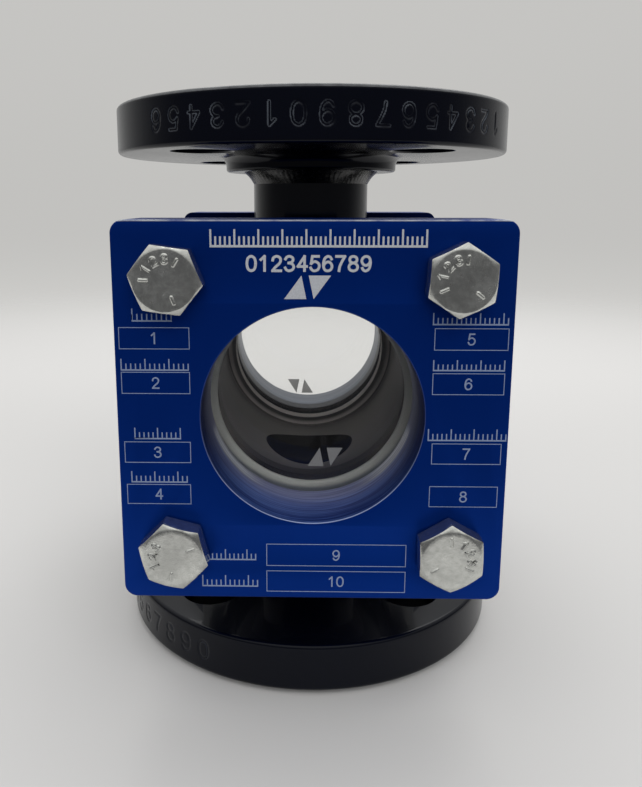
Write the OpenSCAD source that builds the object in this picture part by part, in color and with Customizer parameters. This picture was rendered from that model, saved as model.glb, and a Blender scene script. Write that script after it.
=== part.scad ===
// Flanged see-through sight glass for a vertical 1 inch line.
// Millimetres. The origin is on the flow axis, at the lower flange's sealing face, with +Z up
// along the flow. The windows look along Y: the front one faces -Y.

/* [Overall] */
// Height between the two flange sealing faces
face_to_face = 150.4; // [125:0.1:190]
// Diameter of the round window in each cover plate
window_d = 50.8; // [42:0.1:62]

/* [Neck pipes] */
// Outside diameter of the pipe stubs
neck_d = 33.4; // [27:0.1:41]
// Wall thickness of the pipe stubs
neck_wall = 3.4; // [2.5:0.1:5]

/* [Flanges] */
// Thickness of the flange rim, without its raised face
rim_t = 12.7; // [10:0.1:16]
// Height of the raised sealing face
face_h = 1.6; // [1:0.1:3]
// Width of the raised sealing face, from the bore outwards
face_w = 8.15; // [6:0.05:12]
// Radial clearance of the flange bore around the pipe
slip_gap = 0.55; // [0.3:0.05:1]
// Wall of the hub around the bore
hub_wall = 7.4; // [5:0.1:10]
// How far the hub stands out of the rim
hub_h = 4.3; // [2:0.1:8]
// Diameter of the four flange bolt holes
flange_hole_d = 15.88; // [12:0.01:19]
// Space between the hub and a bolt hole, for the nut
spot_gap = 7.11; // [5:0.01:12]
// Distance from the bolt circle to the outside of the rim
rim_edge = 15.3; // [12:0.1:20]
// Chamfer on the edges of the rim
rim_chamfer = 0.9; // [0.3:0.1:2]

/* [Drum] */
// Wall thickness of the horizontal drum
drum_wall = 2.77; // [2:0.01:5]
// How far the drum's bore lies outside the glass seat's bore
drum_step = 2.78; // [1:0.01:4]
// How much the glass seat's bore is smaller than the window, on the diameter
bore_step = 1.6; // [0:0.1:3]
// Thickness of the glass seat's floor
seat_t = 4; // [3:0.1:7]
// Root gap between the drum's end and the glass seat
root_gap = 3.2; // [2:0.1:5]

/* [Welds] */
// Leg of the fillet weld at each flange hub
hub_leg = 3.5; // [3:0.1:6]
// Leg of the saddle weld between stub and drum
branch_leg = 4; // [3:0.1:5]
// How far the weld at a glass seat runs onto the drum, beyond the root gap
seat_weld_toe = 0.2; // [0.1:0.1:2]
// How far the pipe's end is set back from the sealing face
set_back = 6.4; // [5:0.1:9]

/* [Glass and gaskets] */
// Thickness of each glass disc
glass_t = 9.53; // [6:0.01:15]
// How far the glass laps the cover plate, all round
glass_lap = 6.35; // [4:0.05:10]
// Thickness of each gasket
gasket_t = 1.59; // [1:0.01:3]
// Radial clearance of the glass in its seat
glass_gap = 0.25; // [0.15:0.05:1]
// Wall of the seat around the glass
seat_wall = 6.1; // [4:0.1:9]
// Gap left between cover plate and seat when the bolts are tight
clamp_gap = 1; // [0.5:0.1:1.4]

/* [Cover plates] */
// Thickness of each cover plate
cover_t = 19.05; // [12:0.05:25]
// Distance from a bolt's axis to the plate's edge
bolt_edge = 12.7; // [10:0.1:18]
// Radius of the plate's corners
corner_r = 3; // [1:0.1:6]
// Chamfer of the window's edges
window_chamfer = 0.5; // [0.2:0.1:1.2]

/* [Bolts and nuts] */
// Diameter of the bolts
bolt_d = 9.525; // [8:0.005:12]
// How much wider than the bolt its hole in a cover plate is, on the diameter
bolt_clear = 0.775; // [0.6:0.005:2]
// Radial space between a bolt and the glass seat
bolt_gap = 2.04; // [1:0.01:5]
// Width of bolt head and nut across the flats
hex_w = 14.29; // [12:0.01:19]
// Height of a bolt head
head_h = 5.95; // [4:0.05:8]
// Height of a nut
nut_h = 8.33; // [6:0.01:11]
// How far a bolt stands out of its nut
thread_out = 4.4; // [2:0.1:8]

/* [Hidden] */

$fn = 96;
cut = 1;             // how far a cutting tool runs past the face it opens

// Flange, from the pipe outwards
neck_r = neck_d / 2;
flow_r = neck_r - neck_wall;
flange_bore_r = neck_r + slip_gap;
hub_r = flange_bore_r + hub_wall;
face_r = flange_bore_r + face_w;
flange_pcd = 2 * (hub_r + spot_gap) + flange_hole_d;
flange_r = flange_pcd / 2 + rim_edge;
hub_top = face_h + rim_t + hub_h;
hub_chamfer = 0.8;
mid_z = face_to_face / 2;

// Drum, glass seats and covers, from the window outwards
window_r = window_d / 2;
seat_bore_r = window_r - bore_step / 2;
drum_bore_r = seat_bore_r + drum_step;
drum_r = drum_bore_r + drum_wall;
glass_r = window_r + glass_lap;
recess_r = glass_r + glass_gap;
seat_r = recess_r + seat_wall;
relief = 0.5;                          // the inner gasket's bore lies this far outside the window
hide = 2.4;                            // the outer gasket ends this far behind the window's edge
gasket_bore_r = window_r + relief;
cover_gasket_r = window_r + hide;
bolt_at = (seat_r + bolt_gap + bolt_d / 2) / sqrt(2);
cover_w = 2 * (bolt_at + bolt_edge);

// Stack along Y, from the drum outwards
weld_space = 0.48;                     // between the saddle weld and the seat weld
seat_leg = root_gap + seat_weld_toe;
seat_back = neck_r + branch_leg + weld_space + seat_leg;
tube_end = seat_back - root_gap;
seat_face = seat_back + seat_t;
glass_in = seat_face + gasket_t;
glass_out = glass_in + glass_t;
cover_in = glass_out + gasket_t;
cover_out = cover_in + cover_t;
seat_front = cover_in - clamp_gap;
glass_chamfer = 0.6;
seat_chamfer = 0.8;
root_step = 0.3;                       // the seat weld's root stops this far outside the drum's bore
root_r = drum_bore_r + root_step;
weld_lift = 0.12;                      // keeps the faceted saddle weld off the drum
weld_fit = 0.03;                       // keeps the hub weld and the saddle weld off the pipe

// Crowned weld faces, as parts of the weld's leg
hub_crown = 0.58;
seal_crown = 0.42;
seat_crown = 0.6;
saddle_low = [0.78, 0.38];             // outwards and upwards, near the toe on the drum
saddle_high = [0.4, 0.76];             // the same, near the toe on the stub

// Fasteners
washer_h = 0.4;                        // washer face under a bolt head
washer_part = 0.47;                    // radius of the washer face, as part of the hexagon's width
face_part = 0.475;                     // the same for the round left flat on a chamfered hexagon
washer_r = washer_part * hex_w;
thread_gap = 0.05;
tip_chamfer = 1;
hex_corner_r = hex_w / 2 / cos(30);
hex_face_r = face_part * hex_w;
hex_slope = tan(30);                   // the corners' chamfer falls 30 degrees outwards

paint = [0.02, 0.02, 0.06];
anodised = [0.02, 0.11, 0.42];
zinc = [0.72, 0.73, 0.74];
ptfe = [0.92, 0.92, 0.9];
clear_glass = [0.8, 0.9, 0.88, 0.35];

// Stands a shape drawn around Z up, so that its axis runs along Y. side is -1 at the front
// cover and 1 at the rear one, and the shape's +Z then points outwards.
module along_y(side) {
    translate([0, 0, mid_z]) rotate([side < 0 ? 90 : -90, 0, 0]) children();
}

// Puts a shape drawn for the lower end at the lower end (-1) or at the upper end (1).
module at_end(end) {
    translate([0, 0, end > 0 ? face_to_face : 0]) mirror([0, 0, end > 0 ? 1 : 0]) children();
}

module ring(outer_r, inner_r, low, high) {
    rotate_extrude()
        translate([inner_r, low]) square([outer_r - inner_r, high - low]);
}

module flange(end) {
    color(paint) at_end(end) difference() {
        rotate_extrude() polygon([
            [flange_bore_r, 0], [face_r, 0], [face_r, face_h],
            [flange_r - rim_chamfer, face_h], [flange_r, face_h + rim_chamfer],
            [flange_r, face_h + rim_t - rim_chamfer], [flange_r - rim_chamfer, face_h + rim_t],
            [hub_r, face_h + rim_t], [hub_r, hub_top - hub_chamfer],
            [hub_r - hub_chamfer, hub_top], [flange_bore_r, hub_top]
        ]);
        for (a = [45 : 90 : 315]) rotate([0, 0, a])
            translate([flange_pcd / 2, 0, -cut])
                cylinder(d = flange_hole_d, h = face_h + rim_t + 2 * cut);
    }
}

// Pipe stub from the flange to the drum, with its end cut to sit on the drum
module neck(end) {
    color(paint) at_end(end) difference() {
        translate([0, 0, set_back]) cylinder(r = neck_r, h = mid_z - set_back);
        translate([0, 0, set_back - cut]) cylinder(r = flow_r, h = mid_z);
        translate([0, 0, mid_z]) rotate([90, 0, 0])
            cylinder(r = drum_r, h = 4 * neck_r, center = true);
    }
}

// Fillet weld on top of the hub, with a slightly crowned face
module hub_weld(end) {
    crown = hub_crown * hub_leg;
    root = neck_r + weld_fit;
    color(paint) at_end(end) rotate_extrude() polygon([
        [root, hub_top], [neck_r + hub_leg, hub_top],
        [neck_r + crown, hub_top + crown], [root, hub_top + hub_leg]
    ]);
}

// Weld inside the flange's bore, from the pipe's end towards the sealing face
module seal_weld(end) {
    color(paint) at_end(end) rotate_extrude() polygon([
        [flow_r, set_back],
        [flow_r + neck_wall * seal_crown, face_h + set_back * seal_crown],
        [flange_bore_r, face_h], [flange_bore_r, set_back]
    ]);
}

// One section of the saddle weld, at angle a around the stub: its root, its toe on the drum,
// two points on its crowned face, and its toe on the stub.
function drum_z(x) = sqrt(pow(drum_r + weld_lift, 2) - pow(x, 2));
function saddle_point(a, out, up, root) =
    [(root + out) * cos(a), (root + out) * sin(a), drum_z((root + out) * cos(a)) + up];
function saddle_section(a, root) = [
    saddle_point(a, 0, 0, root),
    saddle_point(a, branch_leg / 2, 0, root),
    saddle_point(a, branch_leg, 0, root),
    saddle_point(a, saddle_low[0] * branch_leg, saddle_low[1] * branch_leg, root),
    saddle_point(a, saddle_high[0] * branch_leg, saddle_high[1] * branch_leg, root),
    saddle_point(a, 0, branch_leg, root)
];

// Saddle weld between a stub and the drum, swept around the line where they meet
module branch_weld(end) {
    steps = 72;
    corners = 6;
    root = neck_r / cos(180 / steps) + weld_fit;
    points = [for (i = [0 : steps - 1]) each saddle_section(i * 360 / steps, root)];
    faces = [for (i = [0 : steps - 1]) for (k = [0 : corners - 1])
        let (j = (i + 1) % steps, n = (k + 1) % corners)
        each [
            [i * corners + k, i * corners + n, j * corners + n],
            [i * corners + k, j * corners + n, j * corners + k]
        ]];
    color(paint) translate([0, 0, mid_z]) mirror([0, 0, end > 0 ? 0 : 1])
        polyhedron(points = points, faces = faces, convexity = 6);
}

// Horizontal drum between the glass seats, with a port at each stub
module body_tube() {
    color(paint) difference() {
        translate([0, 0, mid_z]) rotate([90, 0, 0])
            cylinder(r = drum_r, h = 2 * tube_end, center = true);
        translate([0, 0, mid_z]) rotate([90, 0, 0])
            cylinder(r = drum_bore_r, h = 2 * (tube_end + cut), center = true);
        translate([0, 0, mid_z - drum_r - cut]) cylinder(r = flow_r, h = 2 * (drum_r + cut));
    }
}

// End ring of the drum: its floor carries the inner gasket, its wall keeps the glass central
module glass_seat(side) {
    color(paint) along_y(side) rotate_extrude() polygon([
        [seat_bore_r, seat_back], [seat_r - seat_chamfer, seat_back],
        [seat_r, seat_back + seat_chamfer], [seat_r, seat_front - seat_chamfer],
        [seat_r - seat_chamfer, seat_front], [recess_r, seat_front],
        [recess_r, seat_face], [seat_bore_r, seat_face]
    ]);
}

// Weld that fills the outer part of the root gap and rises onto the back of the seat
module seat_weld(side) {
    crown = seat_crown * seat_leg;
    color(paint) along_y(side) rotate_extrude() polygon([
        [root_r, tube_end], [drum_r, tube_end], [drum_r, seat_back - seat_leg],
        [drum_r + crown, seat_back - crown], [drum_r + seat_leg, seat_back],
        [root_r, seat_back]
    ]);
}

module inner_gasket(side) {
    color(ptfe) along_y(side) ring(glass_r, gasket_bore_r, seat_face, glass_in);
}

module outer_gasket(side) {
    color(ptfe) along_y(side) ring(glass_r, cover_gasket_r, glass_out, cover_in);
}

module glass(side) {
    color(clear_glass) along_y(side) rotate_extrude() polygon([
        [0, glass_in], [glass_r - glass_chamfer, glass_in], [glass_r, glass_in + glass_chamfer],
        [glass_r, glass_out - glass_chamfer], [glass_r - glass_chamfer, glass_out],
        [0, glass_out]
    ]);
}

// Outline of a cover plate: a square with round corners
module cover_outline() {
    inner = cover_w - 2 * corner_r;
    square([cover_w, inner], center = true);
    square([inner, cover_w], center = true);
    for (x = [-1, 1], y = [-1, 1])
        translate([x * inner / 2, y * inner / 2]) circle(r = corner_r);
}

// Cuts the window and chamfers its two edges
module window_cut() {
    reach = window_r + window_chamfer + cut;
    translate([0, 0, cover_in - cut]) cylinder(r = window_r, h = cover_t + 2 * cut);
    translate([0, 0, cover_out - window_chamfer])
        cylinder(r1 = window_r, r2 = reach, h = window_chamfer + cut);
    translate([0, 0, cover_in - cut])
        cylinder(r1 = reach, r2 = window_r, h = window_chamfer + cut);
}

module cover(side) {
    color(anodised) along_y(side) difference() {
        translate([0, 0, cover_in]) linear_extrude(height = cover_t) cover_outline();
        window_cut();
        for (x = [-1, 1], y = [-1, 1])
            translate([x * bolt_at, y * bolt_at, cover_in - cut])
                cylinder(d = bolt_d + bolt_clear, h = cover_t + 2 * cut);
    }
}

// Hexagonal prism whose upper corners, and lower ones too if both is true, are chamfered
module chamfered_hex(height, both) {
    drop = (hex_corner_r - hex_face_r) * hex_slope;
    low = both ? drop : 0;
    low_r = both ? hex_face_r : hex_corner_r;
    intersection() {
        cylinder(r = hex_corner_r, h = height, $fn = 6);
        rotate_extrude() polygon([
            [0, 0], [low_r, 0], [hex_corner_r, low], [hex_corner_r, height - drop],
            [hex_face_r, height], [0, height]
        ]);
    }
}

// Bolt with its head outside the front cover; turn is the angle at which its head was left
module bolt(x, z, turn) {
    shank = 2 * cover_out + nut_h + thread_out;
    color(zinc) translate([x * bolt_at, -cover_out, mid_z + z * bolt_at]) rotate([90, 0, 0]) {
        rotate([0, 0, turn]) translate([0, 0, washer_h]) chamfered_hex(head_h - washer_h, false);
        cylinder(r = washer_r, h = washer_h);
        translate([0, 0, -shank]) rotate_extrude() polygon([
            [0, 0], [bolt_d / 2 - tip_chamfer, 0], [bolt_d / 2, tip_chamfer],
            [bolt_d / 2, shank + washer_h / 2], [0, shank + washer_h / 2]
        ]);
    }
}

module nut(x, z, turn) {
    color(zinc) translate([x * bolt_at, cover_out, mid_z + z * bolt_at]) rotate([-90, 0, 0])
        difference() {
            rotate([0, 0, turn]) chamfered_hex(nut_h, true);
            translate([0, 0, -cut])
                cylinder(r = bolt_d / 2 + thread_gap, h = nut_h + 2 * cut);
        }
}

flange(-1);  // bottom_flange
flange(1);  // top_flange
neck(-1);  // bottom_neck
neck(1);  // top_neck
hub_weld(-1);  // bottom_hub_weld
hub_weld(1);  // top_hub_weld
seal_weld(-1);  // bottom_seal_weld
seal_weld(1);  // top_seal_weld
branch_weld(-1);  // bottom_branch_weld
branch_weld(1);  // top_branch_weld
body_tube();
glass_seat(-1);  // front_glass_seat
glass_seat(1);  // rear_glass_seat
seat_weld(-1);  // front_seat_weld
seat_weld(1);  // rear_seat_weld
inner_gasket(-1);  // front_inner_gasket
inner_gasket(1);  // rear_inner_gasket
glass(-1);  // front_glass
glass(1);  // rear_glass
outer_gasket(-1);  // front_outer_gasket
outer_gasket(1);  // rear_outer_gasket
cover(-1);  // front_cover
cover(1);  // rear_cover
bolt(-1, 1, 52);  // bolt_top_left
bolt(1, 1, 86);  // bolt_top_right
bolt(-1, -1, 105);  // bolt_bottom_left
bolt(1, -1, 91);  // bolt_bottom_right
nut(-1, 1, 12);  // nut_top_left
nut(1, 1, 40);  // nut_top_right
nut(-1, -1, 27);  // nut_bottom_left
nut(1, -1, 3);  // nut_bottom_right
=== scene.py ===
"""Finished look of a flanged see-through sight glass, built on its CAD frame.

The CAD frame gives every place and size. This file adds detailed pieces in place of some CAD
nodes, a procedural material for every surface, the floor, the lamps and the camera.
"""

import math
from types import SimpleNamespace

import bmesh
import bpy
import numpy as np
from bpy.props import FloatProperty, FloatVectorProperty, IntProperty, PointerProperty
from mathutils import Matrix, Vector


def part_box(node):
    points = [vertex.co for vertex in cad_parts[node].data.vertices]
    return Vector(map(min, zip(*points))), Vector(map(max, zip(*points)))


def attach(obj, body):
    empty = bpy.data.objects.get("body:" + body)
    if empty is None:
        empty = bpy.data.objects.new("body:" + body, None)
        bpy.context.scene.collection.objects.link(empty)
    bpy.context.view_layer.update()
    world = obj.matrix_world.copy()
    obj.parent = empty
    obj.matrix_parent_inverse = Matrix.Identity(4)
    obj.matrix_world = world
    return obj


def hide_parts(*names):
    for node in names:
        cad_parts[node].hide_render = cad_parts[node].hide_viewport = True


bl_info = {
    "name": "Flanged Sight Glass",
    "version": (1, 0, 0),
    "blender": (4, 5, 0),
    "location": "3D View > Sidebar > Sight Glass",
    "description": "Detailed pieces, finishes, stage and camera for a flanged sight glass",
    "category": "Object",
}

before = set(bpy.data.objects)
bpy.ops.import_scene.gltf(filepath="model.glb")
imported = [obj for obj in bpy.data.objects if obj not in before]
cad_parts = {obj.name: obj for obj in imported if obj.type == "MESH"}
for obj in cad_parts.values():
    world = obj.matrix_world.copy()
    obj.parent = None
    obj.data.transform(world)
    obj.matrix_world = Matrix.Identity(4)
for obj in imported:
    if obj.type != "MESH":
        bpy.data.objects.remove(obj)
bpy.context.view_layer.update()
BODY = "root"
MM = 0.001
CORNERS = {"top_left": (-1, 1), "top_right": (1, 1), "bottom_left": (-1, -1), "bottom_right": (1, -1)}
ENDS = {"bottom": -1, "top": 1}
SIDES = {"front": -1, "rear": 1}

# Places that the pieces share, measured on the CAD nodes
FLANGE_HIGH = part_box("bottom_flange")[1]
TOP_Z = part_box("top_flange")[1].z
MID_Z = TOP_Z / 2
FLANGE_R = FLANGE_HIGH.x
HUB_TOP = FLANGE_HIGH.z
NECK_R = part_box("bottom_neck")[1].x
DRUM_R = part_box("body_tube")[1].x
DRUM_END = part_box("body_tube")[1].y
SEAT_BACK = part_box("rear_glass_seat")[0].y
GLASS_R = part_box("rear_glass")[1].x
GLASS_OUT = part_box("rear_glass")[1].y
COVER_IN, COVER_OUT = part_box("rear_cover")[0].y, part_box("rear_cover")[1].y
COVER_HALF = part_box("rear_cover")[1].x
NUT_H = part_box("nut_top_left")[1].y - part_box("nut_top_left")[0].y
BOLT_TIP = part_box("bolt_top_left")[1].y
HEAD_TOP = -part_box("bolt_top_left")[0].y
BOLT_AT = (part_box("nut_bottom_right")[0].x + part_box("nut_bottom_right")[1].x) / 2
WALL_MARGIN = 1.2 * MM  # how far inside a pipe's outer surface its inner finish starts
HEX_FACE = 0.475  # of a hexagon's width: the radius of the flat round inside its chamfer


# ---------------------------------------------------------------- sizes and colours

def length(name, description, default):
    """A length in metres that a user may change."""
    return FloatProperty(name=name, description=description, default=default, min=0,
                         unit="LENGTH", subtype="DISTANCE", precision=5)


def colour(name, description, default):
    """A linear colour that a user may change."""
    return FloatVectorProperty(name=name, description=description, default=default, size=3,
                               min=0, max=1, subtype="COLOR")


class SightGlassSizes(bpy.types.PropertyGroup):
    """Sizes of the detail that the CAD frame leaves out"""
    flange_bore_r: length("Flange Bore Radius", "Radius of the bore that the pipe slips into", 17.25 * MM)
    face_r: length("Raised Face Radius", "Outer radius of the sealing face", 25.4 * MM)
    face_h: length("Raised Face Height", "Height of the sealing face above the rim", 1.6 * MM)
    hub_h: length("Hub Height", "How far the hub stands out of the rim", 4.3 * MM)
    hub_r: length("Hub Radius", "Outer radius of the hub", 24.65 * MM)
    hole_r: length("Flange Hole Radius", "Radius of the four flange bolt holes", 7.94 * MM)
    hole_circle_r: length("Bolt Circle Radius", "Radius of the flange bolt circle", 39.7 * MM)
    rim_round: length("Rim Rounding", "Rounding of the rim's edges", 1.1 * MM)
    hub_fillet: length("Hub Fillet", "Fillet between the hub and the rim", 2.7 * MM)
    stamp_h: length("Stamped Digit Height", "Height of the digits stamped in the rim", 4.9 * MM)
    stamp_depth: length("Stamp Depth", "Depth of the stamped digits", 0.17 * MM)
    flow_r: length("Pipe Bore Radius", "Inner radius of the pipe stubs", 13.3 * MM)
    set_back: length("Pipe Set Back", "Distance from the sealing face to the pipe's end", 6.4 * MM)
    drum_bore_r: length("Drum Bore Radius", "Inner radius of the drum", 27.38 * MM)
    seat_bore_r: length("Seat Bore Radius", "Inner radius of the glass seats", 24.6 * MM)
    gasket_bore_r: length("Inner Gasket Bore", "Inner radius of the gasket behind a glass", 25.9 * MM)
    gasket_sag: length("Inner Gasket Sag", "How far the inner gasket's bore lies below the axis", 1.2 * MM)
    cover_gasket_r: length("Outer Gasket Bore", "Inner radius of the gasket under a cover", 27.8 * MM)
    window_r: length("Window Radius", "Radius of the round window in each cover", 25.4 * MM)
    cover_corner_r: length("Cover Corner Radius", "Radius of the covers' corners", 3 * MM)
    cover_break: length("Cover Edge Break", "Small bevel on all edges of a cover", 0.3 * MM)
    bolt_r: length("Bolt Radius", "Major radius of the bolts", 4.7625 * MM)
    bolt_hole_r: length("Cover Hole Radius", "Radius of the bolt holes in the covers", 5.15 * MM)
    hex_w: length("Hexagon Width", "Width of heads and nuts across the flats", 14.29 * MM)
    thread_pitch: length("Thread Pitch", "Distance between two threads", 1.5875 * MM)
    thread_depth: length("Thread Depth", "Depth of the thread", 0.92 * MM)
    thread_length: length("Thread Length", "Length of bolt that shows a thread", 17 * MM)
    mark_h: length("Head Mark Height", "How far the marks on a bolt head stand up", 0.32 * MM)
    hub_leg: length("Hub Weld Leg", "Leg of the weld at the flange hub", 3.5 * MM)
    branch_leg: length("Saddle Weld Leg", "Leg of the weld between stub and drum", 4 * MM)
    seat_leg: length("Seat Weld Leg", "Leg of the weld between drum and glass seat", 3.4 * MM)
    weld_step: length("Weld Ripple", "Distance between two ripples of a weld", 1.5 * MM)
    weld_swell: length("Weld Swell", "Height of a weld's ripples", 0.1 * MM)
    line_w: length("Marking Line Width", "Width of the thin lines marked on the cover", 0.17 * MM)
    columns: IntProperty(name="Round Steps", description="Steps around a hexagon or a turned piece",
                         default=120, min=24, max=480)


class SightGlassColours(bpy.types.PropertyGroup):
    """Colours of the finishes, as linear values"""
    enamel: colour("Enamel", "Gloss blue-black paint of flanges, pipes and drum", (0.0006, 0.0009, 0.0028))
    primer: colour("Primer", "Matt coat inside the drum and the pipes", (0.20, 0.184, 0.176))
    anodised: colour("Anodised Blue", "Dyed face of the cover plates", (0.0005, 0.026, 0.215))
    marking: colour("Marking", "Thin lines and digits marked on the cover", (0.23, 0.29, 0.45))
    header: colour("Bright Marking", "Bold marks at the top of the cover", (0.53, 0.55, 0.59))
    zinc: colour("Zinc", "Plating of bolts and nuts", (0.735, 0.745, 0.705))
    steel: colour("Bare Steel", "Machined sealing faces", (0.45, 0.44, 0.43))
    ptfe: colour("Gasket White", "Gasket sheet", (0.60, 0.61, 0.585))
    glass: colour("Glass Tint", "Slight green of the glass discs", (0.995, 0.997, 0.99))
    frost: colour("Frosted Mark", "Etched mark on the glass", (0.33, 0.33, 0.32))
    floor: colour("Floor", "Pale table top", (0.55, 0.545, 0.54))
    backdrop: colour("Backdrop", "Pale background far behind", (0.56, 0.555, 0.54))


# ---------------------------------------------------------------- shader building

class Wire:
    """An output socket of a shader. Arithmetic on it adds Math nodes."""

    def __init__(self, shader, socket):
        self.shader, self.socket = shader, socket

    def _math(self, operation, *values):
        return self.shader.node("ShaderNodeMath", {"operation": operation}, dict(enumerate(values)))

    def __add__(self, other): return self._math("ADD", self, other)
    def __radd__(self, other): return self._math("ADD", other, self)
    def __sub__(self, other): return self._math("SUBTRACT", self, other)
    def __rsub__(self, other): return self._math("SUBTRACT", other, self)
    def __mul__(self, other): return self._math("MULTIPLY", self, other)
    def __rmul__(self, other): return self._math("MULTIPLY", other, self)
    def __truediv__(self, other): return self._math("DIVIDE", self, other)
    def __gt__(self, other): return self._math("GREATER_THAN", self, other)
    def __lt__(self, other): return self._math("LESS_THAN", self, other)

    def sine(self): return self._math("SINE", self)
    def size(self): return self._math("ABSOLUTE", self)
    def root(self): return self._math("SQRT", self)
    def at_most(self, other): return self._math("MINIMUM", self, other)
    def at_least(self, other): return self._math("MAXIMUM", self, other)


class Shader:
    """Builds one node tree: a material's, or the world's."""

    def __init__(self, tree):
        self.tree = tree
        self.tree.nodes.clear()

    def node(self, kind, settings=None, inputs=None, output=0):
        """Adds a node of a type with its settings, then its socket values or links."""
        made = self.tree.nodes.new(kind)
        for name, value in (settings or {}).items():
            setattr(made, name, value)
        for name, value in (inputs or {}).items():
            if isinstance(value, Wire):
                self.tree.links.new(value.socket, made.inputs[name])
            else:
                target = made.inputs[name]
                if target.type == "RGBA" and len(value) == 3:
                    value = (*value, 1)
                target.default_value = value
        return Wire(self, made.outputs[output])

    def mix(self, factor, a, b):
        """Mixes two colours by a factor from 0 to 1."""
        return self.node("ShaderNodeMix", {"data_type": "RGBA"}, {0: factor, 6: a, 7: b}, output=2)

    def place(self):
        """The point on the surface, in metres in the frame's axes, and its three parts."""
        point = self.node("ShaderNodeTexCoord", output=3)
        parts = [self.node("ShaderNodeSeparateXYZ", {}, {0: point}, output=i) for i in range(3)]
        return point, parts

    def noise(self, point, scale, detail=2.0, roughness=0.5, stretch=None):
        """Soft noise about 0.5; scale is in turns per metre and stretch scales each axis."""
        if stretch:
            point = self.node("ShaderNodeVectorMath", {"operation": "MULTIPLY"}, {0: point, 1: stretch})
        return self.node("ShaderNodeTexNoise", {}, {
            "Vector": point, "Scale": scale, "Detail": detail, "Roughness": roughness})

    def spots(self, point, scale, reach):
        """1 in small round spots, 0 elsewhere."""
        cell = self.node("ShaderNodeTexVoronoi", {}, {"Vector": point, "Scale": scale})
        return cell < reach

    def step(self, value, low, high):
        """0 below low, 1 above high, and smooth between them."""
        return self.node("ShaderNodeMapRange", {"interpolation_type": "SMOOTHSTEP"}, {
            "Value": value, "From Min": low, "From Max": high})

    def bump(self, height, strength, distance):
        """Bends the normal by a height field."""
        return self.node("ShaderNodeBump", {}, {
            "Height": height, "Strength": strength, "Distance": distance})

    def finish(self, **inputs):
        """Ends the tree in a Principled surface; a socket's name is written with underscores."""
        surface = self.node("ShaderNodeBsdfPrincipled", {}, {
            key.replace("_", " "): value for key, value in inputs.items()})
        out = self.tree.nodes.new("ShaderNodeOutputMaterial")
        self.tree.links.new(surface.socket, out.inputs["Surface"])


DARK_BLUE = (0.004, 0.005, 0.012)  # dyed metal that gets no light


def shade(colour, factor):
    """A colour made darker or lighter by a factor."""
    return tuple(factor * part for part in colour)


def new_material(name):
    """A new material and the builder of its nodes."""
    material = bpy.data.materials.new(name)
    material.use_nodes = True
    return material, Shader(material.node_tree)


def enamel_material(c, sizes):
    """Gloss blue-black paint outside, and a matt coat on the surfaces that the fluid wets, with painted light
    and painted shade inside the drum and the pipes.
    """
    material, s = new_material("black_enamel")
    point, (x, y, z) = s.place()
    across = z - MID_Z
    reach = (x * x + across * across).root()
    in_pipe = ((x * x + y * y).root() < NECK_R - WALL_MARGIN) * (reach > sizes.drum_bore_r + 0.12 * MM)
    in_drum = (reach < DRUM_R - WALL_MARGIN) * (1 - in_pipe)
    inside = in_pipe + in_drum
    cloud = s.noise(point, 45, 3)
    peel = s.noise(point, 900, 2)
    gloss = s.mix(cloud, c.enamel, shade(c.enamel, 1.6))
    coat = s.mix(cloud, shade(c.primer, 0.8), shade(c.primer, 1.2))

    seat_bore_end, step_r = sizes.seat_bore_r + 0.1 * MM, sizes.drum_bore_r - 0.48 * MM
    on_seat_back = (y.size() > SEAT_BACK - 0.3 * MM) * (y.size() < SEAT_BACK + 0.3 * MM)
    # painted light: the shoulder face of each glass seat and the bore of the rear seat are painted in a
    # lighter coat, for the light that glances on them
    lit_shoulder = s.step(reach, sizes.seat_bore_r + 0.9 * MM, step_r) * (reach < DRUM_R - 3 * MM) * on_seat_back
    lit_seat_bore = (reach < seat_bore_end) * (y > 0)
    # painted shade: the rest of the rear seat's step is painted near black
    step_shade = (reach > seat_bore_end) * (reach < step_r) * (1 - lit_shoulder) * (y > 0)
    coat = s.mix(step_shade * 0.7, coat, c.enamel)
    coat = s.mix(lit_shoulder.at_least(lit_seat_bore), coat, shade(c.primer, 3.0))
    # painted shade: low down at the front end of the drum the coat is painted darker, for the shade that the
    # front cover casts there
    low = s.step(across / reach * -1, 0.45, 0.95)
    front_shade = 1 - s.step(y, -26 * MM, -6 * MM)
    coat = s.mix(front_shade * (0.15 + 0.65 * low), coat, c.enamel)
    # painted shade: the pipe stubs' bores take the near-black enamel colour instead of the matt coat, for the
    # little light that reaches into them
    wetted = s.mix(in_pipe, coat, c.enamel)
    s.finish(Base_Color=s.mix(inside, gloss, wetted), Roughness=0.3 + 0.25 * inside,
             Specular_IOR_Level=0.10, Specular_Tint=(0.8, 0.88, 1.0, 1.0),
             Coat_Weight=0.5 - 0.5 * inside, Coat_Roughness=0.06,
             Normal=s.bump(peel, 0.06, 0.3 * MM))
    return material


def weld_material(c):
    """Paint over a weld bead: gloss, with a finer grain than the rest, and a matt coat inside the drum."""
    material, s = new_material("painted_weld")
    point, (x, y, z) = s.place()
    across = z - MID_Z
    reach = (x * x + across * across).root()
    inside = (reach < DRUM_R - WALL_MARGIN) * (y.size() > SEAT_BACK - 4 * MM)
    grain = s.noise(point, 1400, 3)
    gloss = s.mix(grain, c.enamel, shade(c.enamel, 1.8))
    s.finish(Base_Color=s.mix(inside, gloss, c.primer),
             Roughness=0.2 + 0.12 * grain + 0.3 * inside,
             Normal=s.bump(grain, 0.12, 0.3 * MM))
    return material


def bare_weld_material(c):
    """Weld inside the flange bore, left bare and slightly oxidised."""
    material, s = new_material("bare_weld")
    point, _ = s.place()
    stain = s.noise(point, 260, 4)
    s.finish(Base_Color=s.mix(stain, shade(c.steel, 0.35), shade(c.steel, 0.8)),
             Metallic=0.9, Roughness=0.42 + 0.2 * stain, Normal=s.bump(stain, 0.3, 0.3 * MM))
    return material


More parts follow.
